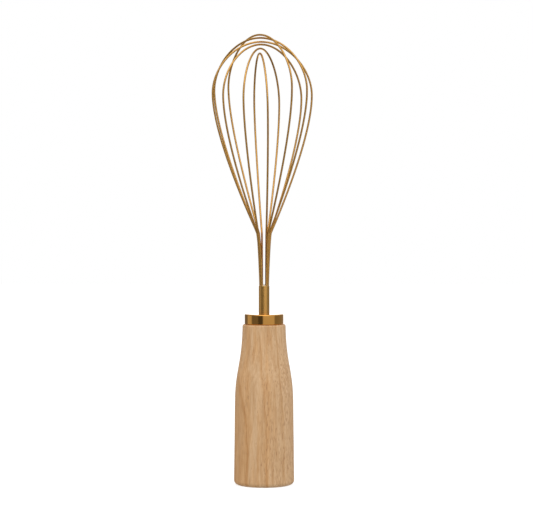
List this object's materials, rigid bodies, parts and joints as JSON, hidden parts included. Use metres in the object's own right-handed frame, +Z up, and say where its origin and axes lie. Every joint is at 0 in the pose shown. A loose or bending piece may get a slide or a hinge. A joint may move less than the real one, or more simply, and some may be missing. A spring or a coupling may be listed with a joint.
{
  "type": "balloon whisk",
  "caption": "Standing balloon whisk: a cage of nested gold wire loops rising from a metal tube and collar on a turned wooden handle with a flat foot.",
  "frame": {"origin": "centre of the flat foot that the whisk stands on", "axes": "+Z up along the handle's axis, from the foot to the cage; +X to the right and +Y away, seen from the front"},
  "size_m": [0.0672, 0.0608, 0.3004],
  "materials": {
    "wood": "oiled, open-pored",
    "gold_polished": "polished gold plating",
    "gold_tube": "satin gold plating",
    "gold_wire": "satin gold plating on spring steel",
    "resin": "cured resin, glossy",
    "adhesive": "cured adhesive"
  },
  "bodies": {
    "root": {"handle": "wood", "collar": "gold_polished", "wire_tube": "gold_tube", "bore_adhesive": "adhesive", "resin_plug": "resin", "wire_loop_1": "gold_wire", "wire_loop_2": "gold_wire", "wire_loop_3": "gold_wire", "wire_loop_4": "gold_wire", "wire_loop_5": "gold_wire", "wire_loop_6": "gold_wire"}
  },
  "joints": []
}
